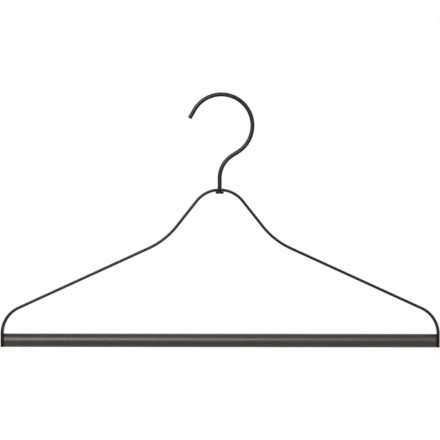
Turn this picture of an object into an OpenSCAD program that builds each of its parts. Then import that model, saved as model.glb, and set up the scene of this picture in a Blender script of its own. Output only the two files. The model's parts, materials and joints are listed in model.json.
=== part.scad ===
// Trouser hanger: a bent steel frame that turns under a round wire hook,
// with a sleeved bar across its two ends. All sizes are in millimetres.
// +X runs along the bar, +Y away from the viewer and +Z up. The origin is
// where the rail touches the inside of the hook.

/* [Hook] */
// Diameter of the hook's round rod
hook_d = 4; // [3.6:0.1:5]
// Radius of the hook's round, to the middle of the rod
hook_r = 29.8; // [24:0.1:36]
// Turn of the hook's round, in degrees
hook_turn = 207.7; // [195:0.1:220]
// Straight stretch at the hook's tip
tip_len = 8.9; // [2:0.1:16]
// Bevel at the cut ends of the rod
rod_bevel = 0.3; // [0.1:0.05:0.5]
// Lean of the hook's neck from upright, in degrees
neck_lean = 57.3; // [45:0.1:65]
// Straight stretch between the neck's bend and the hook's round
neck_len = 7.1; // [2:0.1:14]
// Radius of the neck's bend, to the middle of the rod
neck_r = 25.4; // [16:0.1:36]
// Upright stretch of the hook above the crown
stem_len = 9.8; // [4:0.1:20]

/* [Swivel] */
// Diameter of the pivot, the thin lower end of the hook
pivot_d = 3; // [2.2:0.1:3.2]
// Radial clearance of the pivot in the crown and the washer
pivot_fit = 0.05; // [0.02:0.01:0.1]
// Gap above and below the crown that lets it turn
pivot_play = 0.1; // [0.05:0.05:0.3]
// Diameter of the washer under the crown
washer_d = 7.8; // [6.4:0.1:10]
// Thickness of the washer at its rim
washer_t = 0.6; // [0.4:0.1:1.2]
// Diameter of the collar that holds the pivot
collar_d = 7.8; // [6:0.1:10]
// Height of the collar
collar_h = 1.4; // [1:0.1:3]
// Bevel at the collar's lower edge
collar_bevel = 0.3; // [0.1:0.05:0.5]
// Diameter to which the pivot's end is spread in the collar
rivet_d = 4.4; // [3.6:0.1:5.4]
// Depth of the spread end
rivet_h = 0.7; // [0.3:0.1:0.9]

/* [Frame] */
// Width over the outer faces of the two end tabs
frame_w = 419.6; // [360:0.2:460]
// Thickness of the steel strip
strip_t = 2.7; // [2:0.1:3]
// Width of the steel strip, front to back
strip_w = 8; // [7:0.5:12]
// Radius of the crown, to the middle of the strip
crown_r = 28; // [20:0.5:40]
// Slope of the flanks beside the crown, in degrees
flank_slope = 51.6; // [40:0.1:65]
// Straight stretch of each flank
flank_len = 30.9; // [15:0.1:45]
// Radius of the bend from flank to shoulder, to the middle of the strip
throat_r = 73; // [40:1:100]
// Slope of the shoulders, in degrees
shoulder_slope = 24.6; // [15:0.1:32]
// Radius of the corner above each tab, to the middle of the strip
corner_r = 27; // [12:0.5:40]
// Radius of the lower corners of the tabs, seen from the side
tab_corner = 2; // [0.5:0.5:3.5]

/* [Bends] */
// Loss of thickness where the rod and the strip are bent
bend_thinning = 0.02; // [0.01:0.01:0.1]
// Length over which a bend runs into the straight stretches beside it
bend_lap = 0.3; // [0.1:0.1:0.5]

/* [Bar] */
// Outer diameter of the steel tube
tube_d = 10; // [9:0.1:14]
// Wall of the steel tube
tube_wall = 1; // [0.6:0.1:1.5]
// Thickness of the sleeve
sleeve_t = 1.5; // [0.8:0.1:3]
// Bevel at the sleeve's ends and at the rims of the plugs
rim_bevel = 0.25; // [0.1:0.05:0.5]
// Thickness of the flange of each end plug
flange_t = 1; // [0.6:0.1:2]
// Length of each plug inside the tube
plug_len = 14; // [12:0.5:30]
// Radial clearance between plug and tube, and between tube and sleeve
plug_fit = 0.02; // [0.01:0.01:0.05]

/* [End screws] */
// Diameter of the screws
screw_d = 3; // [2.4:0.1:3.5]
// Length of the screws under their domed tops
screw_len = 12; // [9:0.5:14]
// Diameter of the screw heads
head_d = 6; // [5:0.1:7]
// Rise of the domed tops above the tabs
head_rise = 0.2; // [0.1:0.05:0.5]
// Radial clearance of the screws in the tabs
screw_fit = 0.1; // [0.05:0.05:0.3]
// Radial clearance of the screw threads in the plugs
thread_fit = 0.02; // [0.01:0.01:0.05]
// Room past the end of each screw
screw_room = 1; // [0.5:0.5:3]
// Length of the cross in the screw heads
cross_len = 3.2; // [2:0.1:4]
// Width of the cross
cross_w = 0.7; // [0.4:0.1:1]
// Depth of the cross
cross_depth = 1.1; // [0.6:0.1:1.5]

/* [Hidden] */
$fn = 96;

steel_black = "#1c1c1e";
sleeve_brown = "#473e3a";
plug_black = "#141415";
bare_steel = "#8c8e92";

// Extra length that cutting shapes run past the faces they cut
past = 1;

// The stem stands a little beside the middle of the hook's round, and its
// shoulder this far below the rail
stem_x = hook_r * cos(neck_lean) - neck_len * sin(neck_lean) - neck_r * (1 - cos(neck_lean));
hook_centre_z = -(hook_r - hook_d / 2);
shoulder_z = hook_centre_z - (hook_r + neck_r) * sin(neck_lean) - neck_len * cos(neck_lean) - stem_len;

// Crown, washer and collar hang under the shoulder. The washer's top is domed
// to bed in the crown's inner curve, and rises by washer_rise over its rim.
crown_z = shoulder_z - pivot_play - strip_t / 2;
dome_top_r = crown_r - strip_t / 2 - pivot_play;
washer_rise = dome_top_r - sqrt(pow(dome_top_r, 2) - pow(washer_d / 2, 2));
washer_z = crown_z - crown_r + dome_top_r - washer_rise - washer_t;
collar_z = washer_z - collar_h;
pivot_len = shoulder_z - collar_z;

// The bar's outer diameter sets the length of the tabs, which end level with it
bar_d = tube_d + 2 * sleeve_t;
tab_len = bar_d;

// What is left of the half width after the bends is the shoulder's length
half_w = (frame_w - strip_t) / 2;
shoulder_run = half_w - crown_r * sin(flank_slope) - flank_len * cos(flank_slope)
    - throat_r * (sin(flank_slope) - sin(shoulder_slope)) - corner_r * (1 - sin(shoulder_slope));
shoulder_len = shoulder_run / cos(shoulder_slope);

// A bent piece is a list of stretches, each starting where the last one ends:
// [length, 0] runs straight on, and [radius, turn] bends by turn degrees,
// upwards where turn is positive and downwards where it is negative.
hook_path = [
    [stem_len, 0],
    [neck_r, -neck_lean],
    [neck_len, 0],
    [hook_r, hook_turn],
    [tip_len - rod_bevel, 0],
];
side_path = [
    [flank_len, 0],
    [throat_r, flank_slope - shoulder_slope],
    [shoulder_len, 0],
    [corner_r, shoulder_slope - 90],
    [tab_len, 0],
];

// The bar's axis lies halfway down the tabs
bar_z = crown_z - crown_r * (1 - cos(flank_slope)) - flank_len * sin(flank_slope)
    - throat_r * (cos(shoulder_slope) - cos(flank_slope)) - shoulder_len * sin(shoulder_slope)
    - corner_r * cos(shoulder_slope) - tab_len / 2;
bar_len = frame_w - 2 * strip_t - 2 * flange_t;

// Sections of the two bent pieces. $thinner is what the section loses.
module rod_section() {
    circle(d = hook_d - $thinner);
}

module strip_section() {
    square([strip_w - strip_t, strip_t - $thinner], center = true);
    for (side = [-1, 1])
        translate([side * (strip_w - strip_t) / 2, 0])
            circle(d = strip_t - $thinner);
}

// Sweeps a section along one stretch, which starts along +X. A bend is
// slightly thinner, as bent metal is, and its ends run into its neighbours.
module stretch(size, turn) {
    if (turn == 0) {
        $thinner = 0;
        rotate([90, 0, 90])
            linear_extrude(size)
                children();
    } else {
        $thinner = bend_thinning;
        lap_turn = bend_lap / size * 180 / PI;
        translate([0, 0, sign(turn) * size])
            rotate([90, 0, 0])
                rotate((turn > 0 ? -90 : 90 + turn) - lap_turn)
                    rotate_extrude(angle = abs(turn) + 2 * lap_turn)
                        translate([size, 0])
                            rotate(-90)
                                children();
    }
}

// Moves children from the start of one stretch to its end
module past_stretch(size, turn) {
    if (turn == 0) {
        translate([size, 0, 0])
            children();
    } else {
        translate([0, 0, sign(turn) * size])
            rotate([0, -turn, 0])
                translate([0, 0, -sign(turn) * size])
                    children();
    }
}

// Sweeps a section along a whole bent piece
module bent(path, i = 0) {
    stretch(path[i][0], path[i][1])
        children();
    if (i < len(path) - 1)
        past_stretch(path[i][0], path[i][1])
            bent(path, i + 1)
                children();
}

// Moves children to the far end of a bent piece
module at_end(path, i = 0) {
    if (i < len(path))
        past_stretch(path[i][0], path[i][1])
            at_end(path, i + 1)
                children();
    else
        children();
}

module hook() {
    color(steel_black)
        translate([stem_x, 0, shoulder_z]) {
            difference() {
                rotate([0, -90, 0])
                    bent(hook_path)
                        rod_section();
                // Bevel round the shoulder that stands on the crown
                rotate_extrude()
                    polygon([
                        [hook_d / 2 - rod_bevel, -past],
                        [hook_d / 2 - rod_bevel, 0],
                        [hook_d / 2 + past, rod_bevel + past],
                        [hook_d / 2 + past, -past],
                    ]);
            }
            rotate([0, -90, 0])
                at_end(hook_path)
                    rotate([0, 90, 0])
                        cylinder(d1 = hook_d, d2 = hook_d - 2 * rod_bevel, h = rod_bevel);
            translate([0, 0, -pivot_len])
                cylinder(d = pivot_d, h = pivot_len);
            translate([0, 0, -pivot_len])
                cylinder(d1 = rivet_d, d2 = pivot_d, h = rivet_h);
        }
}

// The ball that domes the washer's top is centred where the crown's bend is
module swivel_washer() {
    color(steel_black)
        translate([stem_x, 0, washer_z])
            difference() {
                intersection() {
                    cylinder(d = washer_d, h = washer_t + past);
                    translate([0, 0, crown_z - crown_r - washer_z])
                        sphere(r = dome_top_r);
                }
                translate([0, 0, -past])
                    cylinder(d = pivot_d + 2 * pivot_fit, h = washer_t + 3 * past);
            }
}

// The collar is countersunk below for the pivot's spread end
module rivet_collar() {
    inner_r = pivot_d / 2 + plug_fit;
    rim_r = rivet_d / 2 + plug_fit;
    color(steel_black)
        translate([stem_x, 0, collar_z])
            rotate_extrude()
                polygon([
                    [inner_r, collar_h],
                    [collar_d / 2, collar_h],
                    [collar_d / 2, collar_bevel],
                    [collar_d / 2 - collar_bevel, 0],
                    [rim_r, 0],
                    [inner_r, rivet_h],
                ]);
}

// What is cut away from a tab: the clearance hole, the seat for the screw's
// head and the two lower corners
module tab_cuts() {
    outer_x = frame_w / 2;
    seat_depth = (head_d - screw_d) / 2;
    translate([outer_x - strip_t - past, 0, bar_z])
        rotate([0, 90, 0])
            cylinder(d = screw_d + 2 * screw_fit, h = strip_t + 2 * past);
    translate([outer_x - seat_depth, 0, bar_z])
        rotate([0, 90, 0])
            cylinder(r1 = screw_d / 2 + screw_fit, r2 = head_d / 2 + screw_fit, h = seat_depth);
    for (face = [0, 1])
        mirror([0, face, 0])
            translate([outer_x - strip_t - past, strip_w / 2 - tab_corner, bar_z - tab_len / 2])
                difference() {
                    translate([0, 0, -past])
                        cube([strip_t + 2 * past, tab_corner + past, tab_corner + past]);
                    translate([-past, 0, tab_corner])
                        rotate([0, 90, 0])
                            cylinder(r = tab_corner, h = strip_t + 4 * past);
                }
}

// The crown, one bend over the top, from the end of one side to the other
module crown() {
    translate([0, 0, -crown_r])
        rotate([0, -flank_slope, 0])
            translate([0, 0, crown_r])
                stretch(crown_r, -2 * flank_slope)
                    strip_section();
}

module frame_side() {
    past_stretch(crown_r, -flank_slope)
        bent(side_path)
            strip_section();
}

module frame() {
    color(steel_black)
        translate([stem_x, 0, 0])
            difference() {
                translate([0, 0, crown_z]) {
                    crown();
                    frame_side();
                    mirror([1, 0, 0])
                        frame_side();
                }
                translate([0, 0, crown_z - strip_t])
                    cylinder(d = pivot_d + 2 * pivot_fit, h = 2 * strip_t);
                tab_cuts();
                mirror([1, 0, 0])
                    tab_cuts();
            }
}

module bar_tube() {
    color(bare_steel)
        translate([stem_x, 0, bar_z])
            rotate([0, 90, 0])
                difference() {
                    cylinder(d = tube_d, h = bar_len, center = true);
                    cylinder(d = tube_d - 2 * tube_wall, h = bar_len + 2 * past, center = true);
                }
}

module bar_sleeve() {
    inner_r = tube_d / 2 + plug_fit;
    color(sleeve_brown)
        translate([stem_x, 0, bar_z])
            rotate([0, 90, 0])
                rotate_extrude()
                    polygon([
                        [inner_r, -bar_len / 2],
                        [bar_d / 2 - rim_bevel, -bar_len / 2],
                        [bar_d / 2, -bar_len / 2 + rim_bevel],
                        [bar_d / 2, bar_len / 2 - rim_bevel],
                        [bar_d / 2 - rim_bevel, bar_len / 2],
                        [inner_r, bar_len / 2],
                    ]);
}

// A plug on the right, its flange against the right tab
module end_plug() {
    shank_r = tube_d / 2 - tube_wall - plug_fit;
    bore_r = screw_d / 2 + thread_fit;
    bore_depth = screw_len - strip_t + screw_room;
    color(plug_black)
        translate([bar_len / 2, 0, bar_z])
            rotate([0, 90, 0])
                difference() {
                    rotate_extrude()
                        polygon([
                            [0, -plug_len],
                            [shank_r - rim_bevel, -plug_len],
                            [shank_r, rim_bevel - plug_len],
                            [shank_r, 0],
                            [bar_d / 2, 0],
                            [bar_d / 2, flange_t - rim_bevel],
                            [bar_d / 2 - rim_bevel, flange_t],
                            [0, flange_t],
                        ]);
                    translate([0, 0, flange_t - bore_depth])
                        cylinder(r = bore_r, h = bore_depth + past);
                }
}

// An oval head screw on the right, its head in the right tab
module end_screw() {
    cone_h = (head_d - screw_d) / 2;
    // The dome is a slice of the ball that passes through the head's rim
    dome_r = (pow(head_d / 2, 2) + pow(head_rise, 2)) / (2 * head_rise);
    color(steel_black)
        translate([frame_w / 2, 0, bar_z])
            rotate([0, 90, 0])
                difference() {
                    union() {
                        translate([0, 0, -screw_len])
                            cylinder(d1 = screw_d - 2 * rod_bevel, d2 = screw_d, h = rod_bevel);
                        translate([0, 0, rod_bevel - screw_len])
                            cylinder(d = screw_d, h = screw_len - rod_bevel - cone_h);
                        translate([0, 0, -cone_h])
                            cylinder(d1 = screw_d, d2 = head_d, h = cone_h);
                        intersection() {
                            translate([0, 0, head_rise - dome_r])
                                sphere(r = dome_r);
                            cylinder(d = head_d, h = head_rise);
                        }
                    }
                    for (turn = [0, 90])
                        rotate(turn)
                            translate([-cross_len / 2, -cross_w / 2, head_rise - cross_depth])
                                cube([cross_len, cross_w, cross_depth + past]);
                }
}

module on_left() {
    translate([stem_x, 0, 0])
        mirror([1, 0, 0])
            children();
}

module on_right() {
    translate([stem_x, 0, 0])
        children();
}

hook();
swivel_washer();
rivet_collar();
frame();
bar_tube();
bar_sleeve();
on_left() end_plug();  // end_plug_left
on_right() end_plug();  // end_plug_right
on_left() end_screw();  // end_screw_left
on_right() end_screw();  // end_screw_right
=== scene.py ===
import json
import math

import bmesh
import bpy
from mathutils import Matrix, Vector


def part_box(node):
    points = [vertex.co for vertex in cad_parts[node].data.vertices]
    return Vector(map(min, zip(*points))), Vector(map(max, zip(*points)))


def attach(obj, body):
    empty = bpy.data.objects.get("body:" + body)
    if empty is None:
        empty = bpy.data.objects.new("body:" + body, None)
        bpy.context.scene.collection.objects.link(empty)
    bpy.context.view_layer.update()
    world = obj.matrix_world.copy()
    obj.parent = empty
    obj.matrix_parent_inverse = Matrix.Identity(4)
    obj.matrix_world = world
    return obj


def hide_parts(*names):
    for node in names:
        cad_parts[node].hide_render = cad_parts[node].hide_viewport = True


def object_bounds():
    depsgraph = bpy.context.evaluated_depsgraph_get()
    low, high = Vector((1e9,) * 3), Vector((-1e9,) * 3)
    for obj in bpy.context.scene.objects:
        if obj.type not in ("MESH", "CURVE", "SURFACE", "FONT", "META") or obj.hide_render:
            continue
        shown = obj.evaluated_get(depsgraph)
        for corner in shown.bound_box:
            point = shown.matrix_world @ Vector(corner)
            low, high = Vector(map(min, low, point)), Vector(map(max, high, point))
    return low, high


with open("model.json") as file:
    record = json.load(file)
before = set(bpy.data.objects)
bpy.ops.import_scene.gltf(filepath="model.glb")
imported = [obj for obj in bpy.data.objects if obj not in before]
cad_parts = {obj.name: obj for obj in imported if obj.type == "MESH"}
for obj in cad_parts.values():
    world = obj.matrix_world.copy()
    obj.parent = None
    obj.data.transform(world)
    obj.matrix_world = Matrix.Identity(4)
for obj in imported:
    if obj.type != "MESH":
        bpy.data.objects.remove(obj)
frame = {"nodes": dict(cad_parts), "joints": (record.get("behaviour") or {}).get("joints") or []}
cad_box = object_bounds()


# The view: the photograph looks at the front of the hanger from a little over
# one and a half metres, level with the middle of its height and a degree round
# to the right. It spans view_width at the hanger, with view_middle at its centre.
view_middle = Vector((-0.00125, 0, -0.11815))
view_width = 0.4209
view_distance = 1.6
view_turn = math.radians(1)
nearest_seen = 0.01

camera = bpy.data.objects.new("camera", bpy.data.cameras.new("camera"))
bpy.context.scene.collection.objects.link(camera)
towards_camera = Vector((math.sin(view_turn), -math.cos(view_turn), 0))
camera.location = view_middle + view_distance * towards_camera
camera.rotation_euler = (math.radians(90), 0, view_turn)
camera.data.angle = 2 * math.atan(view_width / 2 / view_distance)
camera.data.clip_start = nearest_seen
bpy.context.scene.camera = camera


# The hook: one round steel rod, bent cold into an upright stem, a neck that
# leans out and a round that comes back over the stem. Its lower end is turned
# down to a thin pivot and spread in the collar, and all is coated satin black.
mm = 0.001
pivot = Vector(frame["joints"][0]["pos_m"])
strip_t = 2.7 * mm
play = 0.1 * mm
shoulder_z = pivot.z + strip_t / 2 + play
collar_foot_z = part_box("rivet_collar")[0].z

rod_r, rod_ease = 2 * mm, 0.35 * mm
stem_len = 9.8 * mm
neck_r, neck_lean = 25.4 * mm, math.radians(57.3)
neck_len = 7.1 * mm
round_r, round_turn = 29.8 * mm, math.radians(207.7)
tip_len, tip_face_r = 8.9 * mm, rod_r / 3
edge_break = 0.05 * mm
pivot_r = 1.5 * mm
spread_r, spread_h, spread_ease = 2.2 * mm, 0.7 * mm, 0.08 * mm
dimple_r, dimple_ease = 0.6 * mm, 0.15 * mm
dimple_point_r, dimple_depth = 0.05 * mm, 0.3 * mm
around_rod = 40

upwards = math.radians(90)
bend_step = math.radians(2.5)
sharp_turn = math.radians(40)


def along(heading):
    """A unit step along a heading in the hanger's plane."""
    return Vector((math.cos(heading), 0, math.sin(heading)))


def left_of(heading):
    """A unit step square to a heading, to its left as seen from the front."""
    return Vector((-math.sin(heading), 0, math.cos(heading)))


def bent_line(start, heading, stretches):
    """Places and headings along a piece bent in the hanger's plane.

    A stretch is (length, 0) where it runs straight and (radius, turn) where it
    bends, to the left for a positive turn and to the right for a negative one.
    """
    line = [(start, heading)]
    for size, turn in stretches:
        place, heading = line[-1]
        if turn == 0:
            line.append((place + size * along(heading), heading))
            continue
        side = math.copysign(size, turn)
        middle = place + side * left_of(heading)
        steps = math.ceil(abs(turn) / bend_step)
        for i in range(1, steps + 1):
            now = heading + turn * i / steps
            line.append((middle - side * left_of(now), now))
    return line


def eased(outline, closed=False, steps=5):
    """An outline whose corners (x, y, radius) are rounded to their radii."""
    points = []
    last = len(outline) - 1
    for i, (x, y, radius) in enumerate(outline):
        corner = Vector((x, y))
        if radius == 0 or (not closed and i in (0, last)):
            points.append(corner)
            continue
        before = (Vector(outline[i - 1][:2]) - corner).normalized()
        after = (Vector(outline[(i + 1) % len(outline)][:2]) - corner).normalized()
        half = before.angle(after) / 2
        middle = corner + (before + after).normalized() * radius / math.sin(half)
        first = corner + before * radius / math.tan(half) - middle
        turn = math.copysign(math.pi - 2 * half, before.cross(after))
        for k in range(steps + 1):
            c, s = math.cos(turn * k / steps), math.sin(turn * k / steps)
            spoke = Vector((c * first.x + s * first.y, c * first.y - s * first.x))
            points.append(middle + spoke)
    return points


def ring(place, heading, section):
    """A section set square to the heading at a place along a piece."""
    return [place + Vector((0, across, 0)) + rise * left_of(heading)
            for across, rise in section]


def round_section(radius, points):
    """Across a round piece, as so many points on its circle."""
    turns = [2 * math.pi * i / points for i in range(points)]
    return [(radius * math.cos(t), radius * math.sin(t)) for t in turns]


def turned_rings(outline, place, heading, around):
    """Round rings for an outline of (distance along the heading, radius)."""
    return [ring(place + s * along(heading), heading, round_section(r, around))
            for s, r in outline]


def smooth(piece):
    """Smooths a piece, apart from edges where its faces turn sharply."""
    piece.data.polygons.foreach_set("use_smooth", [True] * len(piece.data.polygons))
    piece.data.set_sharp_from_angle(angle=sharp_turn)
    weighted = piece.modifiers.new("flat faces stay flat", "WEIGHTED_NORMAL")
    weighted.keep_sharp = True


def skin(name, rings, closed=False):
    """A piece whose surface runs through rings of as many points each."""
    mesh = bmesh.new()
    loops = [[mesh.verts.new(point) for point in points] for points in rings]
    pairs = list(zip(loops, loops[1:]))
    if closed:
        pairs.append((loops[-1], loops[0]))
    else:
        mesh.faces.new(loops[0])
        mesh.faces.new(loops[-1])
    for a, b in pairs:
        for i in range(len(a)):
            mesh.faces.new((a[i - 1], a[i], b[i], b[i - 1]))
    bmesh.ops.recalc_face_normals(mesh, faces=mesh.faces)
    piece = bpy.data.objects.new(name, bpy.data.meshes.new(name))
    mesh.to_mesh(piece.data)
    mesh.free()
    bpy.context.scene.collection.objects.link(piece)
    smooth(piece)
    return piece


def plain_finish(name, settings):
    """A material with settings that are the same all over the piece."""
    material = bpy.data.materials.new(name)
    material.use_nodes = True
    for setting, value in settings.items():
        material.node_tree.nodes["Principled BSDF"].inputs[setting].default_value = value
    return material


def noise(material, size, detail, roughness=0.5, length=None):
    """Noise fixed to a piece: specks of a size, or streaks of a length along X."""
    nodes, links = material.node_tree.nodes, material.node_tree.links
    place = nodes.new("ShaderNodeTexCoord")
    stretch = nodes.new("ShaderNodeMapping")
    stretch.inputs["Scale"].default_value = (1 / (length or size), 1 / size, 1 / size)
    pattern = nodes.new("ShaderNodeTexNoise")
    pattern.inputs["Scale"].default_value = 1
    pattern.inputs["Detail"].default_value = detail
    pattern.inputs["Roughness"].default_value = roughness
    links.new(place.outputs["Object"], stretch.inputs["Vector"])
    links.new(stretch.outputs["Vector"], pattern.inputs["Vector"])
    return pattern.outputs["Fac"]


def coloured(material, pattern, dark, light, span=(0, 1)):
    """Colours a piece from dark to light over a span of the pattern."""
    nodes, links = material.node_tree.nodes, material.node_tree.links
    shade = nodes.new("ShaderNodeValToRGB")
    for stop, position, colour in zip(shade.color_ramp.elements, span, (dark, light)):
        stop.position = position
        stop.color = (*colour, 1)
    links.new(pattern, shade.inputs["Fac"])
    links.new(shade.outputs["Color"], nodes["Principled BSDF"].inputs["Base Color"])


def dulled(material, pattern, least, most, span=(0, 1)):
    """Makes a piece duller, from least to most, over a span of the pattern."""
    nodes, links = material.node_tree.nodes, material.node_tree.links
    dull = nodes.new("ShaderNodeMapRange")
    dull.inputs["From Min"].default_value, dull.inputs["From Max"].default_value = span
    dull.inputs["To Min"].default_value = least
    dull.inputs["To Max"].default_value = most
    links.new(pattern, dull.inputs["Value"])
    links.new(dull.outputs["Result"], nodes["Principled BSDF"].inputs["Roughness"])


def raised(material, pattern, height, over=None):
    """Raises the pattern from a piece's skin, over an earlier relief if there is one."""
    nodes, links = material.node_tree.nodes, material.node_tree.links
    relief = nodes.new("ShaderNodeBump")
    relief.inputs["Distance"].default_value = height
    links.new(pattern, relief.inputs["Height"])
    if over is not None:
        links.new(over, relief.inputs["Normal"])
    links.new(relief.outputs["Normal"], nodes["Principled BSDF"].inputs["Normal"])
    return relief.outputs["Normal"]


coat_black = (0.003, 0.003, 0.0032)
coat_patch, patch_span = 9 * mm, (0.3, 0.7)
patch_shades, patch_dullness = (0.8, 1.2), 0.04
peel_size, peel_height = 1.1 * mm, 0.035 * mm


def coated(name, dullness):
    """Black powder coat on steel: faint patches over a faint orange peel."""
    coat = plain_finish(name, {"IOR": 1.5, "Specular IOR Level": 0.25})
    patches = noise(coat, coat_patch, detail=3)
    dark, light = ([shade * c for c in coat_black] for shade in patch_shades)
    coloured(coat, patches, dark, light, patch_span)
    dulled(coat, patches, dullness - patch_dullness, dullness + patch_dullness, patch_span)
    raised(coat, noise(coat, peel_size, detail=2, roughness=0.4), peel_height)
    return coat


hook_line = bent_line(
    Vector((pivot.x, 0, shoulder_z)),
    upwards,
    [(stem_len, 0), (neck_r, -neck_lean), (neck_len, 0), (round_r, round_turn), (tip_len, 0)],
)
hook_shoulder, hook_tip = hook_line[0], hook_line[-1]
foot = collar_foot_z - shoulder_z
lower_end = eased([
    (foot + dimple_depth, dimple_point_r, 0),
    (foot, dimple_r, dimple_ease),
    (foot, spread_r, spread_ease),
    (foot + spread_h, pivot_r, edge_break),
    (0, pivot_r, 0),
    (0, rod_r, rod_ease),
    (stem_len / 2, rod_r, 0),
])
tip_end = eased([
    (-2 * rod_ease, rod_r, 0),
    (0, rod_r, rod_ease),
    (0, tip_face_r, 0),
])
rod_section = round_section(rod_r, around_rod)
hook = skin(
    "hook_rod",
    turned_rings(lower_end, *hook_shoulder, around_rod)
    + [ring(place, heading, rod_section) for place, heading in hook_line[1:-1]]
    + turned_rings(tip_end, *hook_tip, around_rod),
)
hook.data.materials.append(coated("black powder coat on the rod", dullness=0.25))
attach(hook, "hook_side")
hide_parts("hook")


# The swivel's washer and collar: two small rings of turned steel under the
# crown, coated like the rod. The washer's domed top beds in the crown's curve
# and carries it, and the collar below is held by the pivot's spread end.
ring_bore_r = 1.55 * mm
washer_r, washer_t, washer_ease = 3.9 * mm, 0.6 * mm, 0.15 * mm
collar_r, collar_h = 3.9 * mm, 1.4 * mm
collar_top_ease, collar_foot_ease = 0.1 * mm, 0.3 * mm
spread_play = 0.02 * mm
spread_bore_r = spread_r + spread_play
crown_r = 28 * mm
dome_top_r = crown_r - strip_t / 2 - play
dome_ring_radii = (3 * mm, 2.2 * mm)
around_ring = 72


def turned(name, outline, place, heading, around, closed=True):
    """A turned piece. A closed outline makes a ring, an open one a solid."""
    return skin(name, turned_rings(outline, place, heading, around), closed)


def dome_rise(radius):
    """How far the washer's top rises above its rim."""
    return math.sqrt(dome_top_r ** 2 - radius ** 2) - math.sqrt(dome_top_r ** 2 - washer_r ** 2)


washer = turned(
    "washer_ring",
    eased([
        (0, ring_bore_r, edge_break),
        (0, washer_r, washer_ease),
        (washer_t, washer_r, washer_ease),
        *[(washer_t + dome_rise(r), r, 0) for r in dome_ring_radii],
        (washer_t + dome_rise(ring_bore_r), ring_bore_r, edge_break),
    ], closed=True),
    Vector((pivot.x, 0, collar_foot_z + collar_h)),
    upwards,
    around_ring,
)
collar = turned(
    "collar_ring",
    eased([
        (collar_h, ring_bore_r, edge_break),
        (collar_h, collar_r, collar_top_ease),
        (0, collar_r, collar_foot_ease),
        (0, spread_bore_r, edge_break),
        (spread_h, ring_bore_r, edge_break),
    ], closed=True),
    Vector((pivot.x, 0, collar_foot_z)),
    upwards,
    around_ring,
)
fitting_coat = coated("black coat on the swivel rings and screws", dullness=0.33)
for piece, node in ((washer, "swivel_washer"), (collar, "rivet_collar")):
    piece.data.materials.append(fitting_coat)
    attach(piece, "hook_side")
    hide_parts(node)


# The frame: one steel strip with rolled round edges, bent cold the flat way
# over the crown and down both sides to the upright end tabs. The crown is bored
# for the pivot, the tabs are countersunk for the screws, and all is coated black.
strip_w = 8 * mm
edge_steps = 12
frame_low, frame_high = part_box("frame")
half_width = (frame_high.x - frame_low.x) / 2
flank_slope, flank_len = math.radians(51.6), 30.9 * mm
throat_r, shoulder_slope = 73 * mm, math.radians(24.6)
corner_r = 27 * mm
tab_len, tab_corner, tab_ease = 13 * mm, 2 * mm, 0.4 * mm
tab_corner_shares = (1, 0.75, 0.625, 0.5, 0.375, 0.275, 0.1875, 0.125, 0.075, 0.0375, 0.0125, 0)
bore_r = 1.6 * mm
seat_r, seat_depth = 3.1 * mm, 1.5 * mm
# The bar's two ends: the side, the heading outwards and the name of each.
ends = ((-1, math.pi, "left"), (1, 0, "right"))

shoulder_run = (
    half_width - strip_t / 2
    - crown_r * math.sin(flank_slope)
    - flank_len * math.cos(flank_slope)
    - throat_r * (math.sin(flank_slope) - math.sin(shoulder_slope))
    - corner_r * (1 - math.sin(shoulder_slope))
)
right_line = bent_line(
    pivot,
    0,
    [
        (crown_r, -flank_slope),
        (flank_len, 0),
        (throat_r, flank_slope - shoulder_slope),
        (shoulder_run / math.cos(shoulder_slope), 0),
        (corner_r, shoulder_slope - upwards),
        (tab_len, 0),
    ],
)
tab_end, tab_heading = right_line[-1]
bar_z = tab_end.z + tab_len / 2


def on_bar_axis(offset):
    """A place on the bar's axis, at an offset to the right of the pivot."""
    return Vector((pivot.x + offset, 0, bar_z))


def strip_section(width, thickness):
    """Across a strip whose two edges are rolled to half rounds."""
    half_flat = (width - thickness) / 2
    points = []
    for side in (1, -1):
        for k in range(edge_steps + 1):
            turn = math.pi * (k / edge_steps - 0.5)
            points.append((side * (half_flat + thickness / 2 * math.cos(turn)),
                           side * thickness / 2 * math.sin(turn)))
    return points


def cut(piece, *tools):
    """Cuts tools out of a piece and smooths it again."""
    for tool in tools:
        piece.modifiers.clear()
        tool.modifiers.clear()
        boolean = piece.modifiers.new("cut", "BOOLEAN")
        boolean.operation = "DIFFERENCE"
        boolean.solver = "EXACT"
        boolean.object = tool
        whole = bpy.context.evaluated_depsgraph_get()
        result = bpy.data.meshes.new_from_object(piece.evaluated_get(whole))
        piece.modifiers.clear()
        piece.data = result
        bpy.data.objects.remove(tool)
    smooth(piece)


tab_rings = []
for share in tab_corner_shares:
    up = tab_corner * share
    narrow = tab_corner - math.sqrt(tab_corner ** 2 - (tab_corner - up) ** 2)
    thin = tab_ease - math.sqrt(tab_ease ** 2 - max(0, tab_ease - up) ** 2)
    section = strip_section(strip_w - 2 * narrow, strip_t - 2 * thin)
    tab_rings.append((tab_end - up * along(tab_heading), tab_heading, section))
plain_section = strip_section(strip_w, strip_t)
right_rings = [(place, heading, plain_section) for place, heading in right_line[:-1]]
right_rings += tab_rings
left_rings = [
    (Vector((2 * pivot.x - place.x, 0, place.z)), -heading, section)
    for place, heading, section in reversed(right_rings[1:])
]
strip = skin("frame_strip", [ring(*r) for r in left_rings + right_rings])
pivot_bore = turned(
    "pivot_bore",
    [(-strip_t, ring_bore_r), (strip_t, ring_bore_r)],
    pivot,
    upwards,
    around_ring,
    closed=False,
)
screw_seats = [
    turned(
        "screw_seat",
        [(-2 * strip_t, bore_r), (-seat_depth, bore_r), (0, seat_r), (strip_t, seat_r)],
        on_bar_axis(side * half_width),
        outwards,
        around_ring,
        closed=False,
    )
    for side, outwards, _ in ends
]
cut(strip, pivot_bore, *screw_seats)
strip.data.materials.clear()
strip.data.materials.append(coated("black powder coat on the strip", dullness=0.34))
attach(strip, "hanger")
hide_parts("frame")


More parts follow.
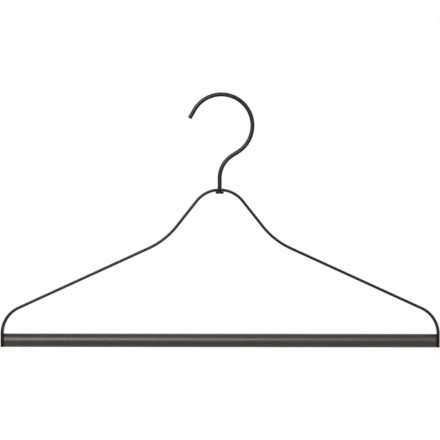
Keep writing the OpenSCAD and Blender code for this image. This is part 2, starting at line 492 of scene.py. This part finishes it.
# The bar's steel tube: drawn, with fine lines along it. The sleeve and the two
# end plugs close it in, so it shows only where they are taken off.
drawn_line_len, drawn_line_w = 1 / 30, 0.4 * mm
steel_dark, steel_light = (0.36, 0.36, 0.37), (0.52, 0.52, 0.53)
tube_steel = plain_finish("drawn steel of the tube", {"Metallic": 1})
drawn_lines = noise(tube_steel, drawn_line_w, detail=4, length=drawn_line_len)
coloured(tube_steel, drawn_lines, steel_dark, steel_light)
dulled(tube_steel, drawn_lines, least=0.28, most=0.46)
for slot in frame["nodes"]["bar_tube"].material_slots:
    slot.material = tube_steel


# The bar's sleeve: dark brown soft rubber, drawn over the tube from end to end
# so that trousers don't slide. It is matt, with a fine grain and faint lines
# along it from the die, and its two ends are rounded off.
sleeve_low, sleeve_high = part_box("bar_sleeve")
sleeve_len = sleeve_high.x - sleeve_low.x
bar_r, sleeve_ease = 6.5 * mm, 0.6 * mm
sleeve_bore_r, sleeve_bore_ease = 5.02 * mm, 0.1 * mm
around_bar = 96
rubber_dark, rubber_light = (0.0150, 0.0096, 0.0076), (0.0210, 0.0138, 0.0110)
rubber_patch = 14 * mm
rubber_grain, rubber_grain_height = 0.45 * mm, 0.05 * mm
die_line_len, die_line_w, die_line_height = 1 / 12, 0.625 * mm, 0.03 * mm
sleeve = turned(
    "sleeve",
    eased([
        (0, sleeve_bore_r, sleeve_bore_ease),
        (0, bar_r, sleeve_ease),
        (sleeve_len, bar_r, sleeve_ease),
        (sleeve_len, sleeve_bore_r, sleeve_bore_ease),
    ], closed=True, steps=6),
    Vector((sleeve_low.x, 0, bar_z)),
    0,
    around_bar,
)
rubber = plain_finish("dark brown rubber of the sleeve", {
    "IOR": 1.5,
    "Specular IOR Level": 0.62,
    "Specular Tint": (1, 0.90, 0.865, 1),
})
patches = noise(rubber, rubber_patch, detail=5)
coloured(rubber, patches, rubber_dark, rubber_light, patch_span)
dulled(rubber, patches, least=0.28, most=0.34, span=patch_span)
grain_relief = raised(rubber, noise(rubber, rubber_grain, detail=3), rubber_grain_height)
die_lines = noise(rubber, die_line_w, detail=2, length=die_line_len)
raised(rubber, die_lines, die_line_height, over=grain_relief)
sleeve.data.materials.append(rubber)
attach(sleeve, "hanger")
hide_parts("bar_sleeve")


# The end plugs: two of moulded black plastic, pushed into the tube's ends. Each
# has a flange as wide as the bar between the sleeve and the tab, and a bore
# that takes the end screw.
flange_t, flange_ease = 1 * mm, 0.3 * mm
plug_len, plug_r, plug_end_ease = 14 * mm, 3.98 * mm, 0.5 * mm
plug_bore_r, plug_bore_depth = 1.52 * mm, 10.5 * mm
plug_ease, plug_point_r = 0.1 * mm, 0.1 * mm
plastic_dark, plastic_light = (0.004, 0.004, 0.004), (0.008, 0.008, 0.008)
mould_grain, mould_grain_height = 0.25 * mm, 0.016 * mm
plug_plastic = plain_finish("moulded black plastic of the plugs", {"Specular IOR Level": 0.25})
grain = noise(plug_plastic, mould_grain, detail=3)
coloured(plug_plastic, grain, plastic_dark, plastic_light)
dulled(plug_plastic, grain, least=0.42, most=0.58)
raised(plug_plastic, grain, mould_grain_height)
for side, outwards, name in ends:
    plug = turned(
        "plug_" + name,
        eased([
            (flange_t - plug_bore_depth, plug_point_r, 0),
            (flange_t - plug_bore_depth, plug_bore_r, plug_ease),
            (flange_t, plug_bore_r, plug_ease),
            (flange_t, bar_r, flange_ease),
            (0, bar_r, flange_ease),
            (0, plug_r, plug_ease),
            (-plug_len, plug_r, plug_end_ease),
            (-plug_len, plug_point_r, 0),
        ]),
        on_bar_axis(side * sleeve_len / 2),
        outwards,
        around_ring,
        closed=False,
    )
    plug.data.materials.append(plug_plastic)
    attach(plug, "hanger")
    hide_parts("end_plug_" + name)


# The end screws: two oval head screws of coated steel, each driven through its
# tab into the plug behind it. The head sits in the countersunk seat, its top
# slightly domed, with a cross recess for the driver.
screw_r, screw_len, screw_end_ease = 1.5 * mm, 12 * mm, 0.3 * mm
screw_face_r = screw_r / 3
head_r, head_h, head_rise = 3 * mm, 1.5 * mm, 0.2 * mm
head_steps = 8
cross_half, cross_w, cross_depth = 1.6 * mm, 0.7 * mm, 1.1 * mm
above_head = 1 * mm
# Levels of the cross: the depth of each, and its shares of full length and width.
cross_levels = ((-above_head, 1.1, 1.06), (0, 1, 1), (cross_depth - head_rise, 0.45, 0.67))
head_dome_r = (head_r ** 2 + head_rise ** 2) / (2 * head_rise)
head_dome_turn = math.asin(head_r / head_dome_r)
head_dome = [
    (head_rise - head_dome_r + head_dome_r * math.cos(t), head_dome_r * math.sin(t))
    for t in (head_dome_turn * k / head_steps for k in range(head_steps, 0, -1))
]
screw_outline = eased([
    (-screw_len, screw_face_r, 0),
    (-screw_len, screw_r, screw_end_ease),
    (-head_h, screw_r, 0),
    (-edge_break, head_r - edge_break, 0),
]) + head_dome
for side, outwards, name in ends:
    head_place = on_bar_axis(side * half_width)
    screw = turned("screw_" + name, screw_outline, head_place, outwards, around_ring, closed=False)
    cross = []
    for depth, length_share, width_share in cross_levels:
        wing, half = cross_half * length_share, cross_w / 2 * width_share
        corners = [(wing, -half), (wing, half), (half, half),
                   (half, wing), (-half, wing), (-half, half)]
        corners += [(-y, -z) for y, z in corners]
        cross.append(ring(head_place - depth * along(outwards), outwards, corners))
    cut(screw, skin("cross_recess", cross))
    screw.data.materials.clear()
    screw.data.materials.append(fitting_coat)
    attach(screw, "hanger")
    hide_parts("end_screw_" + name)


# The floor: plain and pale, thirty centimetres below the hanging bar. It takes
# the hanger's shadow in its middle and runs out into the white all round.
floor_drop = 0.3
floor_half = 6
white_from, white_to, white_least = 0.5, 1.7, 0.6


def ray_is(tree, *kinds):
    """One for a ray of any of these kinds, and nought for the rest."""
    path = tree.nodes.new("ShaderNodeLightPath")
    answer = path.outputs[kinds[0]]
    for kind in kinds[1:]:
        either = tree.nodes.new("ShaderNodeMath")
        either.operation = "MAXIMUM"
        tree.links.new(answer, either.inputs[0])
        tree.links.new(path.outputs[kind], either.inputs[1])
        answer = either.outputs["Value"]
    return answer


def mixed_into(tree, output, share, first, second):
    """Mixes two shaders, the second by its share, into the tree's output."""
    mix = tree.nodes.new("ShaderNodeMixShader")
    tree.links.new(share, mix.inputs["Fac"])
    tree.links.new(first, mix.inputs[1])
    tree.links.new(second, mix.inputs[2])
    tree.links.new(mix.outputs["Shader"], tree.nodes[output].inputs["Surface"])


bpy.ops.mesh.primitive_grid_add(x_subdivisions=4, y_subdivisions=4, size=2 * floor_half,
                                location=(0, 0, cad_box[0].z - floor_drop))
floor = bpy.context.object
floor.name = "floor"
pale = plain_finish("pale floor", {
    "Base Color": (0.86, 0.86, 0.86, 1),
    "Roughness": 0.9,
    "Specular IOR Level": 0.1,
})
pale_tree = pale.node_tree
place = pale_tree.nodes.new("ShaderNodeTexCoord")
reach = pale_tree.nodes.new("ShaderNodeVectorMath")
reach.operation = "LENGTH"
pale_tree.links.new(place.outputs["Object"], reach.inputs[0])
fade = pale_tree.nodes.new("ShaderNodeMapRange")
fade.interpolation_type = "SMOOTHSTEP"
fade.inputs["From Min"].default_value = white_from
fade.inputs["From Max"].default_value = white_to
fade.inputs["To Min"].default_value = white_least
pale_tree.links.new(reach.outputs["Value"], fade.inputs["Value"])
seen_fade = pale_tree.nodes.new("ShaderNodeMath")
seen_fade.operation = "MULTIPLY"
pale_tree.links.new(fade.outputs["Result"], seen_fade.inputs[0])
pale_tree.links.new(ray_is(pale_tree, "Is Camera Ray", "Is Glossy Ray"), seen_fade.inputs[1])
white = pale_tree.nodes.new("ShaderNodeEmission")
mixed_into(
    pale_tree,
    "Material Output",
    seen_fade.outputs["Value"],
    pale_tree.nodes["Principled BSDF"].outputs["BSDF"],
    white.outputs["Emission"],
)
floor.data.materials.append(pale)


# The light: a broad soft lamp stands before the hanger, up to the left, a
# smaller one further round to the left and higher, and a weak one to the right.
# The room round them is a soft grey that shows as white.
room_strength = 0.15


def soft_lamp(name, place, width, watts):
    """A square lamp at a place from the view's middle, which it faces."""
    lamp = bpy.data.objects.new(name, bpy.data.lights.new(name, "AREA"))
    bpy.context.scene.collection.objects.link(lamp)
    lamp.data.shape = "SQUARE"
    lamp.data.size = width
    lamp.data.energy = watts
    lamp.location = view_middle + Vector(place)
    lamp.rotation_euler = (-Vector(place)).to_track_quat("-Z", "Y").to_euler()
    lamp.visible_camera = False


soft_lamp("lamp_left", place=(-0.4, -1.85, 0.72), width=1.2, watts=23)
soft_lamp("lamp_side", place=(-1.3, -1.4, 1.3), width=0.8, watts=17)
soft_lamp("lamp_right", place=(1.5, -1.6, 0.5), width=0.8, watts=2.5)

world = bpy.data.worlds.new("white room")
bpy.context.scene.world = world
world.use_nodes = True
room_tree = world.node_tree
room = room_tree.nodes["Background"]
backdrop = room_tree.nodes.new("ShaderNodeBackground")
for shade, strength in ((room, room_strength), (backdrop, 1)):
    shade.inputs["Color"].default_value = (1, 1, 1, 1)
    shade.inputs["Strength"].default_value = strength
mixed_into(
    room_tree,
    "World Output",
    ray_is(room_tree, "Is Glossy Ray", "Is Transmission Ray", "Is Camera Ray"),
    room.outputs["Background"],
    backdrop.outputs["Background"],
)

bpy.context.scene.view_settings.view_transform = "Standard"
